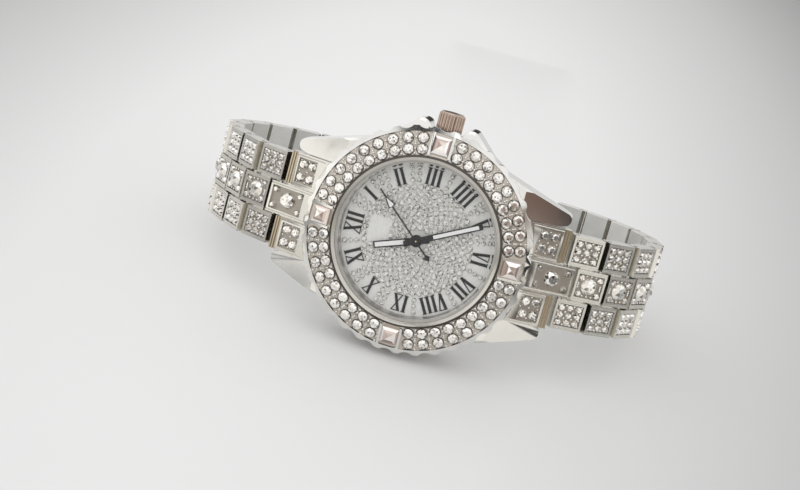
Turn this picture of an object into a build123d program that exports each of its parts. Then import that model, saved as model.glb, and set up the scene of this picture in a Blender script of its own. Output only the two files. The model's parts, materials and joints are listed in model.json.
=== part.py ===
from build123d import *
import math
import os

# A bracelet watch with a stone-set bezel, dial and bracelet, lying on its side with the bracelet closed.
# Everything is drawn in the dial frame: the origin is the middle of the dial's face, +X runs to
# 6 o'clock, +Y to 3 o'clock and +Z out of the dial. The last step stands the watch on its side.
# All lengths are in millimetres and all angles in degrees.

# Shared by every cut
overrun = 1.0
seat_gap = 0.02
running_gap = 0.03

# Radii, outwards from the movement's plate to the rim of the bezel
plate_r = 12.55
holder_width = 1.65
dial_ledge = 0.4
bezel_lip_width = 0.55
bezel_lip_bevel = 0.4
bezel_floor_width = 3.85
bezel_rim_bevel = 0.15
bezel_rim_width = 0.9
bezel_overhang = 0.75
cavity_r = plate_r + holder_width
throat_r = cavity_r - dial_ledge
bezel_lip_r = throat_r + bezel_lip_width
bezel_floor_in_r = bezel_lip_r + bezel_lip_bevel
bezel_floor_out_r = bezel_floor_in_r + bezel_floor_width
bezel_rim_in_r = bezel_floor_out_r + bezel_rim_bevel
bezel_r = bezel_rim_in_r + bezel_rim_width
case_r = bezel_r - bezel_overhang

# Heights of the movement and the case, downwards from the dial
dial_thickness = 0.4
plate_top = -1.5
plate_thickness = 1.0
train_space = 1.65
bridge_thickness = 0.6
back_clearance = 0.65
plate_bottom = plate_top - plate_thickness
bridge_top = plate_bottom - train_space
bridge_bottom = bridge_top - bridge_thickness
case_bottom = bridge_bottom - back_clearance

# Case
case_top = 0.7
case_edge = 0.45
lug_reach = 5.2
lug_slot_half = 8.75
lug_width = 1.4
lug_tip_r = 1.1
lug_tip_height = 3.5
lug_drop = 0.6
lug_shoulder_inset = 3.4
lug_root_angle = 49.0
arm_root_r = 5.0
lug_tip_x = case_r + lug_reach
lug_tip_y = lug_slot_half + lug_width
lug_tip_bottom = case_bottom - lug_drop
lug_tip_top = lug_tip_bottom + lug_tip_height
lug_shoulder_x = case_r - lug_shoulder_inset
guard_x = 4.3
guard_sink = 0.15
guard_r = 1.6
guard_root_angle = 65.0
guard_y = case_r - guard_sink
crown_pocket_depth = 0.45
crown_pocket_floor = case_r - crown_pocket_depth

# Case back and its gasket
back_inset = 2.5
back_thickness = 1.2
back_edge = 0.5
back_spigot = 0.3
gasket_inset = 0.55
gasket_width = 0.6
gasket_depth = 0.4
back_r = case_r - back_inset
gasket_in_r = cavity_r + gasket_inset
gasket_out_r = gasket_in_r + gasket_width

# Bezel
bezel_rim_height = 0.75
bezel_rim_slope = 0.35
bezel_rim_drop = 0.3
bezel_floor_rise = 1.1
bezel_lip_rise = 0.35
bezel_bore_drop = 0.3
bezel_rim_top = case_top + bezel_rim_height
bezel_rim_in_top = bezel_rim_top + bezel_rim_slope
bezel_floor_out_z = bezel_rim_in_top - bezel_rim_drop
bezel_floor_in_z = bezel_floor_out_z + bezel_floor_rise
bezel_lip_top = bezel_floor_in_z + bezel_lip_rise
bezel_bore_top = bezel_lip_top - bezel_bore_drop
scallops = 36
scallop_r = 1.9
scallop_depth = 0.5
bar_width = 0.42
bar_height = 0.55

# Bezel stones
bezel_row_shares = (0.25, 0.745)
bezel_rows_r = tuple(bezel_floor_in_r + share * bezel_floor_width for share in bezel_row_shares)
bezel_stone_r = 0.92
bezel_stone_height = 0.62
bezel_stone_step = 2.4
square_stone_side = 3.0
square_stone_height = 0.75
square_stone_r = (bezel_floor_in_r + bezel_floor_out_r) / 2

# Glass
glass_seal = 0.4
glass_thickness = 1.2
glass_sink = 0.1
glass_edge = 0.25
glass_r = throat_r - glass_seal
glass_top = bezel_lip_top - glass_sink
glass_bottom = glass_top - glass_thickness

# Ring between the glass and the dial
rehaut_ledge = 0.2
rehaut_slope = 0.15
rehaut_top_r = glass_r - rehaut_ledge
rehaut_foot_r = rehaut_top_r - rehaut_slope

# Dial
dial_edge_gap = 0.1
dial_r = cavity_r - dial_edge_gap
dial_hole_r = 0.95
numeral_margin = 0.4
numeral_height = 2.95
numeral_foot_r = rehaut_foot_r - numeral_margin - numeral_height
numeral_relief = 0.12
thick_stroke = 0.5
thin_stroke = 0.2
serif = 0.13
letter_gap = 0.22
letter_v = 1.45
letter_x = 1.6
dial_step = 1.14
paved_gap = 0.4
dial_paved_r = numeral_foot_r - paved_gap
dial_stone_r = 0.54
dial_stone_height = 0.42
dial_hub_clear = 1.3
bare_patch_x = -6.4
bare_patch_length = 3.2
bare_patch_width = 5.0
ring_row_shares = (0.2, 0.56, 0.92)
ring_stone_rows_r = tuple(numeral_foot_r + share * numeral_height for share in ring_row_shares)
ring_stone_r = 0.44
ring_stone_step = 8.0
numeral_half_angles = (0, 5, 8, 10, 12, 8, 11, 13, 16, 11, 8, 11, 13)

# Hands
hub_r = 1.05
hand_thickness = 0.16
hour_hand_z = 0.55
minute_hand_z = 0.9
second_hand_z = 1.25
hour_length = 7.4
hour_width = 1.2
hour_lume_start = 2.0
hour_cap = 0.25
minute_length = 11.6
minute_width = 1.05
minute_lume_start = 3.0
minute_cap = 0.65
hand_tail = 2.2
hand_rim = 0.22
second_length = 10.75
second_width = 0.26
arrow_start = 7.1
arrow_length = 2.6
arrow_width = 1.4
arrow_rim = 0.2
tail_start = 2.7
tail_end = 4.1
tail_width = 1.1
hour_clock = 338.8
minute_clock = 151.4
second_clock = 40.6

# Movement
ring_ledge = 0.75
ring_ledge_r = plate_r - ring_ledge
pillar_r = 0.7
pillar_inset = 1.25
pillar_ring_r = plate_r - pillar_inset
pillar_angles = (15.0, 150.0, 235.0)
screw_r = 0.45
screw_head_r = 0.65
screw_head = 0.25
screw_length = 1.6
battery_r = 3.4
battery_height = 2.1
battery_inset = 3.65
battery_ring_r = plate_r - battery_inset
battery_angle = 292.0
coil_r = 0.75
coil_length = 6.6
coil_core_r = 0.35
coil_inset = 3.25
coil_ring_r = plate_r - coil_inset
stator_thickness = 0.3
stator_width = 3.1
stator_tab = 1.0
stator_wall = 0.5
rotor_window = 0.15
circuit_thickness = 0.2
circuit_inset = 3.3
circuit_width = 2.65
circuit_from = 340.0
circuit_span = 70.0

# Gear train: heights are the middles of the toothed discs, from the face of the plate that they turn over
gear_face = 0.22
pinion_face = 0.42
arbor_r = 0.16
addendum_share = 0.9
dedendum_share = 1.25
tooth_tip_share = 0.24
tooth_root_share = 0.6
third_distance = 4.3
third_angle = 180.0
third_wheel_drop = 0.85
centre_wheel_drop = 0.28
fourth_wheel_drop = 1.36
third_wheel_z = plate_bottom - third_wheel_drop
centre_wheel_z = plate_bottom - centre_wheel_drop
fourth_wheel_z = plate_bottom - fourth_wheel_drop
fifth_distance = 3.9
fifth_angle = 50.0
fifth_wheel_drop = 0.8
fifth_wheel_z = plate_bottom - fifth_wheel_drop
rotor_distance = 2.4
rotor_angle = 45.0
motion_distance = 3.0
motion_angle = 25.0
hour_wheel_rise = 0.82
minute_wheel_rise = 0.26
hour_wheel_z = plate_top + hour_wheel_rise
minute_wheel_z = plate_top + minute_wheel_rise
centre_teeth = 64
third_pinion_teeth = 8
third_teeth = 60
fourth_pinion_teeth = 8
fourth_teeth = 60
fifth_pinion_teeth = 8
fifth_teeth = 32
rotor_pinion_teeth = 8
cannon_teeth = 12
minute_wheel_teeth = 36
minute_pinion_teeth = 10
hour_teeth = 40
rotor_magnet_r = 0.8
second_arbor_r = 0.14
tube_gap = 0.04
centre_tube_r = 0.42
hour_tube_r = 0.75
pivot_length = 0.3

# Crown and stem
stem_drop = 0.5
stem_z = plate_top - stem_drop
crown_r = 2.25
crown_side_gap = 0.35
crown_pocket_half = crown_r + crown_side_gap
crown_gap = 0.3
crown_length = 3.5
crown_start = crown_pocket_floor + crown_gap
crown_end = crown_start + crown_length
crown_flutes = 24
flute_r = 0.24
crown_edge = 0.4
crown_tube_r = 0.95
crown_tube_length = 5.0
crown_tube_cover = 1.45
crown_tube_end = crown_start + crown_tube_cover
crown_tube_start = crown_tube_end - crown_tube_length
stem_r = 0.5
stem_in = 6.6
stem_groove_in = 2.0
stem_groove_y = stem_in + stem_groove_in
stem_groove_width = 0.5
stem_groove_r = 0.32
crown_bore_depth = 2.4
lever_width = 2.2
lever_length = 2.6
lever_thickness = 0.35
crown_pull = 1.0

# Bracelet links
link_pitch = 6.0
lobe_gap = 0.4
lobe_offset = 2.2
bracelet_step = 0.55
centre_lobe_width = 5.4
lobe_side_gap = 0.3
link_top = 1.5
link_bottom = 1.3
corner_run = 0.55
corner_rise = 0.6
web_top = 0.75
rail = 0.42
side_rail = 0.65
groove_width = 0.16
groove_depth = 0.14
pocket_depth = 0.5
pin_r = 0.42
pin_inset = 0.25
panel_gap = 0.04
panel_plate = 0.15
panel_stone_r = 0.64
panel_stone_height = 0.8
centre_stone_r = 1.5
centre_stone_height = 1.15
corner_stone_r = 0.62
facets = 6
large_facets = 8
table_share = 0.55
girdle_share = 0.3

# Bracelet ends fixed between the lugs
end_link_angle = 19.0
end_link_clear = 0.06
end_step_length = 1.5
end_step_drop = 0.55
end_ridges = 3
end_ridge_width = 0.26
end_ridge_height = 0.35
end_stone_r = 0.9
end_bed_extra = 1.2
first_hinge_reach = 1.65
first_hinge_rise = 2.85
spring_bar_inset = 2.7
spring_bar_rise = 2.1
first_hinge_x = lug_tip_x + first_hinge_reach
first_hinge_z = lug_tip_bottom + first_hinge_rise
spring_bar_x = lug_tip_x - spring_bar_inset
spring_bar_z = lug_tip_bottom + spring_bar_rise
spring_bar_r = 0.7
spring_bar_tip_r = 0.4
spring_bar_tip = 0.9

# Directions of the moving links, from the case to the clasp, turning down and back under it
angles_12 = (28.0, 49.0, 55.0, 76.0, 99.0, 118.0, 137.0, 154.0, 168.0)
angles_6 = (24.0, 39.0, 60.0, 85.0, 102.0, 120.0, 138.0, 154.0, 168.0)

# Clasp, in its own frame: x from the 12 o'clock side's last hinge to the other side's, z outwards
clasp_half_width = 7.6
clasp_wall = 0.8
clasp_plate = 0.8
cover_start = 1.7
cover_end_gap = 1.5
leaf_half_width = 5.4
leaf_thickness = 0.6
leaf_gap = 0.3
clasp_rise = 0.7
knuckle_r = 0.75
knuckle_gap = 0.3
clasp_pin_r = 0.35
knuckle_half = 1.9
leaf_inset = 5.6
ear_gap = 0.3


def polar(radius, angle):
    """A point on a circle about the dial's middle."""
    return radius * math.cos(math.radians(angle)), radius * math.sin(math.radians(angle))


def disc(radius, low, high):
    """A plain round disc on the dial's axis between two heights."""
    return Pos(0, 0, low) * extrude(Circle(radius), high - low)


def ring(out_r, in_r, low, high):
    """A flat ring on the dial's axis between two heights."""
    return Pos(0, 0, low) * extrude(Circle(out_r) - Circle(in_r), high - low)


def block(x, y, z):
    """A box given by its lowest and highest value on each axis."""
    size = Box(x[1] - x[0], y[1] - y[0], z[1] - z[0])
    return Pos((x[0] + x[1]) / 2, (y[0] + y[1]) / 2, (z[0] + z[1]) / 2) * size


def rod(radius, y, x=0, z=0):
    """A round bar along Y between two values of y."""
    bar = Rot(-90, 0, 0) * extrude(Circle(radius), y[1] - y[0])
    return Pos(x, y[0], z) * bar


def slab(points, y):
    """A flat shape drawn in x and z, made solid between two values of y."""
    face = Plane.XZ * Polygon(*points, align=None)
    return Pos(0, y[0], 0) * extrude(face, y[1] - y[0], dir=(0, 1, 0))


def crystal(radius, height, sides=facets, girdle=girdle_share):
    """A cut stone: a straight girdle, if it has one, under a crown that narrows to the table."""
    levels = [(radius, 0), (radius, height * girdle), (radius * table_share, height)]
    rings = []
    for r, z in levels if girdle else levels[1:]:
        rings.append([Vector(*polar(r, 360 * (n + 1 / 2) / sides), z) for n in range(sides)])
    faces = [Face(Wire.make_polygon(rings[0])), Face(Wire.make_polygon(rings[-1]))]
    for low, high in zip(rings, rings[1:]):
        for n in range(sides):
            faces.append(Face(Wire.make_polygon([low[n - 1], low[n], high[n], high[n - 1]])))
    return Solid(Shell(faces))


def case_outline():
    """The case seen from the front: a round body with four lugs, and guards beside the crown."""
    outline = Circle(case_r)
    arms = (
        (lug_tip_x - lug_tip_r, lug_tip_y, lug_tip_r, lug_root_angle, (-1, 1)),
        (guard_x, guard_y, guard_r, guard_root_angle, (1,)),
    )
    for x, y, radius, angle, sides in arms:
        root_x, root_y = polar(case_r - arm_root_r, angle)
        for sx in (-1, 1):
            for sy in sides:
                tip = Pos(sx * x, sy * y) * Circle(radius)
                root = Pos(sx * root_x, sy * root_y) * Circle(arm_root_r)
                outline += make_hull(tip.edges() + root.edges())
    return outline


def case_side():
    """The case seen from the side of the lugs, as a slab across the whole case."""
    half = [
        (lug_shoulder_x, case_top),
        (lug_tip_x + overrun, lug_tip_top),
        (lug_tip_x + overrun, lug_tip_bottom),
        (lug_shoulder_x, case_bottom),
    ]
    reach = guard_y + guard_r + overrun
    return slab(half + [(-x, z) for x, z in reversed(half)], (-reach, reach))


def case_middle():
    body = Pos(0, 0, lug_tip_bottom) * extrude(case_outline(), case_top - lug_tip_bottom)
    body = chamfer(body.edges().group_by(Axis.Z)[-1], case_edge) & case_side()
    tall = (lug_tip_bottom - overrun, case_top + overrun)
    for side in (-1, 1):
        far = side * (lug_tip_x + overrun)
        slot = block(sorted((0, far)), (-lug_slot_half, lug_slot_half), tall)
        body -= slot - disc(case_r, *tall)
        bar_x = side * spring_bar_x
        reach = lug_slot_half + spring_bar_tip
        body -= rod(spring_bar_tip_r + running_gap, (-reach, reach), bar_x, spring_bar_z)
    body -= disc(back_r + seat_gap, tall[0], case_bottom)
    body -= disc(cavity_r, tall[0], 0)
    body -= disc(throat_r, -overrun, tall[1])
    body -= ring(gasket_out_r, gasket_in_r, case_bottom, case_bottom + gasket_depth)
    pocket_y = (crown_pocket_floor, guard_y + guard_r + overrun)
    body -= block((-crown_pocket_half, crown_pocket_half), pocket_y, tall)
    body -= rod(crown_tube_r, (0, pocket_y[1]), 0, stem_z)
    return body.solids()


def case_back():
    plate = disc(back_r, case_bottom - back_thickness, case_bottom)
    plate = chamfer(plate.edges().group_by(Axis.Z)[0], back_edge)
    spigot = disc(cavity_r - running_gap, case_bottom, case_bottom + back_spigot)
    return (plate + spigot).solids()


def case_back_gasket():
    low = case_bottom
    return ring(gasket_out_r, gasket_in_r, low, low + gasket_depth - seat_gap).solids()


def bezel_floor_tilt():
    """How far the bezel's stone floor leans outwards, in degrees."""
    rise = bezel_floor_in_z - bezel_floor_out_z
    return math.degrees(math.atan2(rise, bezel_floor_out_r - bezel_floor_in_r))


def on_bezel(angle, radius):
    """A place on the bezel's stone floor, with its own x outwards and z square to the floor."""
    drop = (radius - bezel_floor_in_r) * math.tan(math.radians(bezel_floor_tilt()))
    place = Pos(radius, 0, bezel_floor_in_z - drop)
    return Rot(0, 0, angle) * place * Rot(0, bezel_floor_tilt(), 0)


def bezel_section():
    """Half of the bezel cut through the dial's axis."""
    return Polygon(
        (throat_r, case_top),
        (bezel_r, case_top),
        (bezel_r, bezel_rim_top),
        (bezel_rim_in_r, bezel_rim_in_top),
        (bezel_floor_out_r, bezel_floor_out_z),
        (bezel_floor_in_r, bezel_floor_in_z),
        (bezel_lip_r, bezel_lip_top),
        (throat_r, bezel_bore_top),
        align=None,
    )


def bezel():
    blank = revolve(Plane.XZ * bezel_section(), Axis.Z)
    waves = PolarLocations(bezel_r - scallop_depth + scallop_r, scallops)
    outline = Circle(bezel_r) - [place * Circle(scallop_r) for place in waves]
    body = blank & extrude(outline, bezel_lip_top + overrun)
    floor = (bezel_floor_out_r - bezel_floor_in_r) / math.cos(math.radians(bezel_floor_tilt()))
    offset = (square_stone_side + bar_width) / 2 + panel_gap
    for quarter in range(4):
        place = on_bezel(90 * quarter, (bezel_floor_out_r + bezel_floor_in_r) / 2)
        for side in (-offset, offset):
            y = (side - bar_width / 2, side + bar_width / 2)
            body += place * block((-floor / 2, floor / 2), y, (-bar_height, bar_height))
    return body.solids()


def bezel_stones():
    """Four square stones, and two rows of round ones in each arc between them."""
    stones = []
    round_stone = crystal(bezel_stone_r, bezel_stone_height, large_facets)
    square = crystal(square_stone_side / math.sqrt(2), square_stone_height, 4)
    clear = math.degrees((square_stone_side / 2 + bar_width + panel_gap) / square_stone_r)
    pairs = int(math.radians(90 - 2 * clear) * square_stone_r / bezel_stone_step)
    step = (90 - 2 * clear) / pairs
    lift = Pos(0, 0, seat_gap)
    for quarter in range(4):
        stones.append(on_bezel(90 * quarter, square_stone_r) * lift * square)
        for n in range(pairs):
            angle = 90 * quarter + clear + (n + 1 / 2) * step
            stones += [on_bezel(angle, r) * lift * round_stone for r in bezel_rows_r]
    return stones


def watch_glass():
    body = disc(glass_r, glass_bottom, glass_top)
    return chamfer(body.edges().group_by(Axis.Z)[-1], glass_edge).solids()


def glass_gasket():
    top = (glass_bottom + glass_top) / 2
    return ring(throat_r - seat_gap, glass_r + seat_gap, glass_bottom, top).solids()


def rehaut_ring():
    face = Plane.XZ * Polygon(
        (rehaut_foot_r, 0),
        (throat_r - seat_gap, 0),
        (throat_r - seat_gap, glass_bottom),
        (rehaut_top_r, glass_bottom),
        align=None,
    )
    return revolve(face, Axis.Z).solids()


def dial_plate():
    return ring(dial_r, dial_hole_r, -dial_thickness, 0).solids()


def on_bare_patch(x, y):
    """Is a stone at (x, y) on the patch of the dial that is left plain?"""
    near_x = abs(x - bare_patch_x) < bare_patch_length / 2
    return near_x and abs(y) < bare_patch_width / 2


def dial_stone_places():
    """Where the dial's stones stand: rings in the middle, and groups between the numerals."""
    places = []
    for k in range(1, int(dial_paved_r / dial_step) + 1):
        radius = k * dial_step
        count = int(2 * math.pi * k)
        for n in range(count):
            x, y = polar(radius, 360 * n / count)
            if radius > dial_hub_clear and not on_bare_patch(x, y):
                places.append((x, y, dial_stone_r))
    for hour in range(12):
        start = 30 * hour + numeral_half_angles[hour or 12]
        end = 30 * (hour + 1) - numeral_half_angles[hour + 1]
        for radius in ring_stone_rows_r:
            count = max(1, round((end - start) / ring_stone_step * radius / dial_paved_r))
            for n in range(count):
                clock = start + (end - start) * (n + 1 / 2) / count
                places.append((*polar(radius, 180 - clock), ring_stone_r))
    return places


def dial_stones():
    cut = {r: crystal(r, dial_stone_height, girdle=0) for r in (dial_stone_r, ring_stone_r)}
    return [Pos(x, y, 0) * cut[r] for x, y, r in dial_stone_places()]


def stroke(foot, head, width):
    """One slanted bar of a numeral, from its foot to its head."""
    return Polygon(
        (foot, 0),
        (foot + width, 0),
        (head + width, numeral_height),
        (head, numeral_height),
        align=None,
    )


def serifs(start, end):
    """The thin bars that close a letter at its foot and head."""
    foot = Pos((start + end) / 2, serif / 2) * Rectangle(end - start, serif)
    return foot + Pos(0, numeral_height - serif) * foot


def letter(kind):
    """One letter of a Roman numeral, from x = 0, and its width."""
    if kind == "I":
        width = thick_stroke + 2 * serif
        return stroke(serif, serif, thick_stroke) + serifs(0, width), width
    if kind == "V":
        middle = (letter_v - thick_stroke) / 2
        face = stroke(middle, 0, thick_stroke)
        face += stroke(middle + thin_stroke, letter_v - thin_stroke, thin_stroke)
        face += Pos(letter_v / 2, numeral_height - serif / 2) * Rectangle(letter_v, serif)
        return face, letter_v
    face = stroke(letter_x - thick_stroke, 0, thick_stroke)
    face += stroke(0, letter_x - thin_stroke, thin_stroke)
    return face + serifs(0, letter_x), letter_x


def numeral(text):
    """A Roman numeral centred on x = 0, one face for each letter."""
    faces, x = [], 0
    for kind in text:
        face, width = letter(kind)
        faces.append((face, x))
        x += width + letter_gap
    shift = (x - letter_gap) / 2
    return [Pos(start - shift, 0) * face for face, start in faces]


def dial_numerals():
    words = ("I", "II", "III", "IIII", "V", "VI", "VII", "VIII", "IX", "X", "XI", "XII")
    solids = []
    for n, text in enumerate(words):
        place = Rot(0, 0, 90 - 30 * (n + 1)) * Pos(0, numeral_foot_r, 0)
        solids += [place * extrude(face, numeral_relief) for face in numeral(text)]
    return solids


def bar(start, end, width):
    """A straight bar's outline along +X."""
    return Pos((start + end) / 2, 0) * Rectangle(end - start, width)


def baton(outline, inlay, hole_r, z, clock):
    """A baton hand with a pale inlay, turned to its place on the dial."""
    frame = extrude(outline + Circle(hub_r) - inlay - Circle(hole_r), hand_thickness)
    place = Rot(0, 0, 180 - clock) * Pos(0, 0, z)
    return [place * frame, place * extrude(inlay, hand_thickness)]


def hour_hand():
    outline = bar(-hand_tail, hour_length, hour_width)
    inlay = bar(hour_lume_start, hour_length - hour_cap, hour_width - 2 * hand_rim)
    return baton(outline, inlay, hour_tube_r, hour_hand_z, hour_clock)


def minute_hand():
    outline = bar(-hand_tail, minute_length, minute_width)
    inlay = bar(minute_lume_start, minute_length - minute_cap, minute_width - 2 * hand_rim)
    return baton(outline, inlay, centre_tube_r, minute_hand_z, minute_clock)


def second_hand():
    """A thin hand with an inlaid arrow near its tip and a diamond on its tail."""
    middle = (tail_start + tail_end) / 2
    needle = bar(-middle, second_length, second_width)
    arrow_end = arrow_start + arrow_length
    half = arrow_width / 2
    arrow = Polygon((arrow_start, -half), (arrow_end, 0), (arrow_start, half), align=None)
    inside = offset(arrow, -arrow_rim)
    diamond = Polygon(
        (-tail_start, 0),
        (-middle, tail_width / 2),
        (-tail_end, 0),
        (-middle, -tail_width / 2),
        align=None,
    )
    outline = needle + arrow + diamond + Circle(hub_r * table_share) - inside - Circle(second_arbor_r)
    place = Rot(0, 0, 180 - second_clock) * Pos(0, 0, second_hand_z)
    return [place * extrude(outline, hand_thickness), place * extrude(inside, hand_thickness)]


def gear(teeth, module, face, z, at=(0, 0), tooth_at=0.0):
    """A toothed disc with a tooth centred on one direction."""
    tip = (teeth / 2 + addendum_share) * module
    root = (teeth / 2 - dedendum_share) * module
    step = 360 / teeth
    points = []
    for n in range(teeth):
        middle = tooth_at + n * step
        for radius, share in ((root, -tooth_root_share), (tip, -tooth_tip_share),
                              (tip, tooth_tip_share), (root, tooth_root_share)):
            points.append(polar(radius, middle + share * step / 2))
    blank = extrude(Polygon(*points, align=None), face)
    return Pos(at[0], at[1], z - face / 2) * blank


def mesh_module(distance, teeth_a, teeth_b):
    """The module that lets two wheels mesh at a distance."""
    return 2 * distance / (teeth_a + teeth_b)


def gap_at(teeth, angle):
    """Where a tooth is centred if a gap is to face one direction."""
    return angle + 180 / teeth


def arbor(radius, z, at=(0, 0)):
    """A round arbor between two heights."""
    return Pos(at[0], at[1], z[0]) * extrude(Circle(radius), z[1] - z[0])


third_at = polar(third_distance, third_angle)
fifth_at = polar(fifth_distance, fifth_angle)
rotor_at = tuple(a + b for a, b in zip(fifth_at, polar(rotor_distance, rotor_angle)))
motion_at = polar(motion_distance, motion_angle)
third_module = mesh_module(third_distance, centre_teeth, third_pinion_teeth)
fourth_module = mesh_module(third_distance, third_teeth, fourth_pinion_teeth)
fifth_module = mesh_module(fifth_distance, fourth_teeth, fifth_pinion_teeth)
rotor_module = mesh_module(rotor_distance, fifth_teeth, rotor_pinion_teeth)
cannon_module = mesh_module(motion_distance, cannon_teeth, minute_wheel_teeth)
hour_module = mesh_module(motion_distance, minute_pinion_teeth, hour_teeth)
pivots = (plate_bottom + pivot_length, bridge_top - pivot_length)


def centre_wheel():
    """The minute hand's wheel, on a tube that carries the cannon pinion to the dial side."""
    wheel = gear(centre_teeth, third_module, gear_face, centre_wheel_z, tooth_at=third_angle)
    cannon = gear(cannon_teeth, cannon_module, pinion_face, minute_wheel_z, tooth_at=motion_angle)
    tube = arbor(centre_tube_r, (centre_wheel_z - gear_face / 2, minute_hand_z + hand_thickness))
    bore = arbor(second_arbor_r + tube_gap, (bridge_bottom, second_hand_z))
    return (wheel + cannon + tube - bore).solids()


def fourth_wheel():
    """The second hand's wheel and its long arbor through the centre tube."""
    wheel = gear(fourth_teeth, fifth_module, gear_face, fourth_wheel_z, tooth_at=fifth_angle)
    pinion = gear(fourth_pinion_teeth, fourth_module, pinion_face, third_wheel_z,
                  tooth_at=gap_at(fourth_pinion_teeth, third_angle))
    shaft = arbor(second_arbor_r, (pivots[1], second_hand_z + hand_thickness))
    return (wheel + pinion + shaft).solids()


def third_wheel():
    wheel = gear(third_teeth, fourth_module, gear_face, third_wheel_z, third_at, third_angle + 180)
    pinion = gear(third_pinion_teeth, third_module, pinion_face, centre_wheel_z, third_at,
                  gap_at(third_pinion_teeth, third_angle + 180))
    return (wheel + pinion + arbor(arbor_r, pivots[::-1], third_at)).solids()


def fifth_wheel():
    wheel = gear(fifth_teeth, rotor_module, gear_face, fifth_wheel_z, fifth_at, rotor_angle)
    pinion = gear(fifth_pinion_teeth, fifth_module, pinion_face, fourth_wheel_z, fifth_at,
                  gap_at(fifth_pinion_teeth, fifth_angle + 180))
    return (wheel + pinion + arbor(arbor_r, pivots[::-1], fifth_at)).solids()


def rotor():
    """The step motor's magnet and its pinion."""
    pinion = gear(rotor_pinion_teeth, rotor_module, pinion_face, fifth_wheel_z, rotor_at,
                  gap_at(rotor_pinion_teeth, rotor_angle + 180))
    magnet_z = (bridge_top + seat_gap + running_gap, fifth_wheel_z - pinion_face)
    magnet = arbor(rotor_magnet_r, magnet_z, rotor_at)
    return (pinion + magnet + arbor(arbor_r, pivots[::-1], rotor_at)).solids()


def minute_wheel():
    """The motion-work wheel that steps the minute hand down to the hour hand."""
    wheel = gear(minute_wheel_teeth, cannon_module, gear_face, minute_wheel_z, motion_at,
                 gap_at(minute_wheel_teeth, motion_angle + 180))
    pinion = gear(minute_pinion_teeth, hour_module, pinion_face, hour_wheel_z, motion_at,
                  motion_angle + 180)
    post = arbor(arbor_r, (plate_top - pivot_length, hour_wheel_z), motion_at)
    return (wheel + pinion + post).solids()


def hour_wheel():
    """The hour hand's wheel and tube, running on the centre tube."""
    wheel = gear(hour_teeth, hour_module, gear_face, hour_wheel_z,
                 tooth_at=gap_at(hour_teeth, motion_angle))
    tube = arbor(hour_tube_r, (hour_wheel_z - gear_face / 2, hour_hand_z + hand_thickness))
    bore = arbor(centre_tube_r + tube_gap, (plate_top, minute_hand_z))
    return (wheel + tube - bore).solids()


def movement_ring():
    """The plastic ring that holds the movement in the case."""
    out_r = cavity_r - running_gap
    low = case_bottom + back_spigot
    body = ring(out_r, plate_r + seat_gap, low, plate_top)
    body += ring(out_r, ring_ledge_r, plate_top, -dial_thickness)
    body -= rod(stem_r + 2 * seat_gap, (0, cavity_r + overrun), 0, stem_z)
    return body.solids()


def pillar_places():
    return [polar(pillar_ring_r, angle) for angle in pillar_angles]


def main_plate():
    body = disc(plate_r, plate_bottom, plate_top)
    for x, y in pillar_places():
        body += Pos(x, y, bridge_top) * extrude(Circle(pillar_r), plate_bottom - bridge_top)
    for x, y in pillar_places():
        body -= arbor(screw_r, (bridge_bottom, bridge_bottom + screw_length), (x, y))
    body -= disc(centre_tube_r + running_gap, plate_bottom - overrun, plate_top + overrun)
    sink = pivots[0] + seat_gap
    for at in (third_at, fifth_at, rotor_at):
        body -= arbor(arbor_r + running_gap, (plate_bottom - overrun, sink), at)
    post_sink = (plate_top - pivot_length - seat_gap, plate_top + overrun)
    body -= arbor(arbor_r + running_gap, post_sink, motion_at)
    slot_y = (stem_in - crown_pull, plate_r + overrun)
    slot_half = lever_width / 2 + running_gap
    body -= block((-slot_half, slot_half), slot_y, (plate_bottom - overrun, plate_top + overrun))
    return body.solids()


def train_bridge():
    """The rear bridge, with a bay for the battery, and holes for the pivots and the screws."""
    body = disc(plate_r - seat_gap, bridge_bottom, bridge_top)
    tall = (bridge_bottom - overrun, bridge_top + overrun)
    body -= arbor(battery_r + running_gap, tall, polar(battery_ring_r, battery_angle))
    body -= arbor(second_arbor_r + running_gap, (pivots[1] - seat_gap, tall[1]))
    for at in (third_at, fifth_at, rotor_at):
        body -= arbor(arbor_r + running_gap, (pivots[1] - seat_gap, tall[1]), at)
    for at in pillar_places():
        body -= arbor(screw_r + running_gap, tall, at)
    return body.solids()


def bridge_screws():
    """Three screws that hold the bridge on the plate's pillars."""
    screws = []
    for at in pillar_places():
        head = arbor(screw_head_r, (bridge_bottom - screw_head + seat_gap, bridge_bottom), at)
        shank = arbor(screw_r, (bridge_bottom, bridge_bottom + screw_length - seat_gap), at)
        screws += (head + shank).solids()
    return screws


def battery():
    at = polar(battery_ring_r, battery_angle)
    return arbor(battery_r, (plate_bottom - battery_height, plate_bottom), at).solids()


def coil_place():
    """The coil's own frame: x along the coil, y to the dial's axis through the rotor."""
    angle = math.degrees(math.atan2(rotor_at[1], rotor_at[0]))
    return Rot(0, 0, angle) * Pos(coil_ring_r, 0, plate_bottom - coil_r) * Rot(0, 0, 90)


def coil_bar(radius, half):
    """A round bar along the coil's axis."""
    return Pos(-half, 0, 0) * Rot(0, 90, 0) * extrude(Circle(radius), 2 * half)


def motor_coil():
    """The winding, with a bore for the stator's core."""
    winding = coil_bar(coil_r, coil_length / 2) - coil_bar(coil_core_r, coil_length)
    return (coil_place() * winding).solids()


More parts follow.
